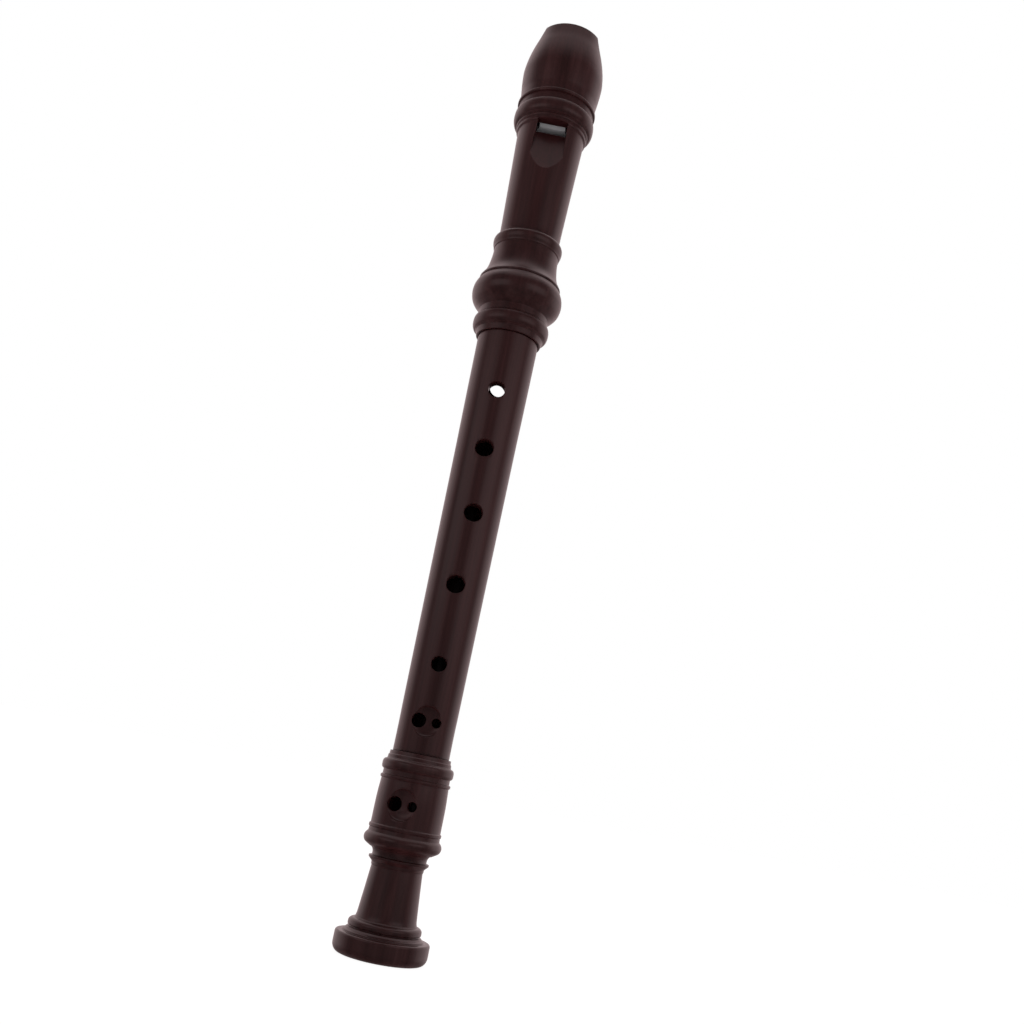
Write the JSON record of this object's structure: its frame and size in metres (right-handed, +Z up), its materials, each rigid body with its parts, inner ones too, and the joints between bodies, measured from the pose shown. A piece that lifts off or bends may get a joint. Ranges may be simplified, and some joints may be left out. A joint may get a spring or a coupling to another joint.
{
  "type": "soprano recorder",
  "caption": "Three-joint soprano recorder in dark brown plastic: beak and windway head that pulls out for tuning, tapered finger-hole tube, and a foot that turns to suit the little finger.",
  "frame": {"origin": "centre of the foot's flat lower end, which the recorder stands on", "axes": "+Z up along the bore towards the beak; finger holes and window face -Y; thumb hole faces +Y; +X to the right of someone looking at the finger holes"},
  "size_m": [0.0318, 0.0318, 0.328],
  "materials": {
    "foot": "satin",
    "middle_tube": "satin",
    "socket_sleeve": "satin",
    "head_tube": "satin",
    "beak_cap": "satin",
    "block": "matt"
  },
  "bodies": {
    "foot_joint": {"foot": "foot"},
    "middle_joint": {"middle_tube": "middle_tube"},
    "head_joint": {"head_tube": "head_tube", "socket_sleeve": "socket_sleeve", "block": "block", "beak_cap": "beak_cap"}
  },
  "joints": [
    {"name": "foot_turn", "type": "hinge", "parent": "foot_joint", "child": "middle_joint", "pos_m": [0, 0, 0.055], "axis": [0, 0, 1], "continuous": true},
    {"name": "head_pull", "type": "slide", "parent": "middle_joint", "child": "head_joint", "axis": [0, 0, 1], "range_m": [0, 0.018]}
  ]
}
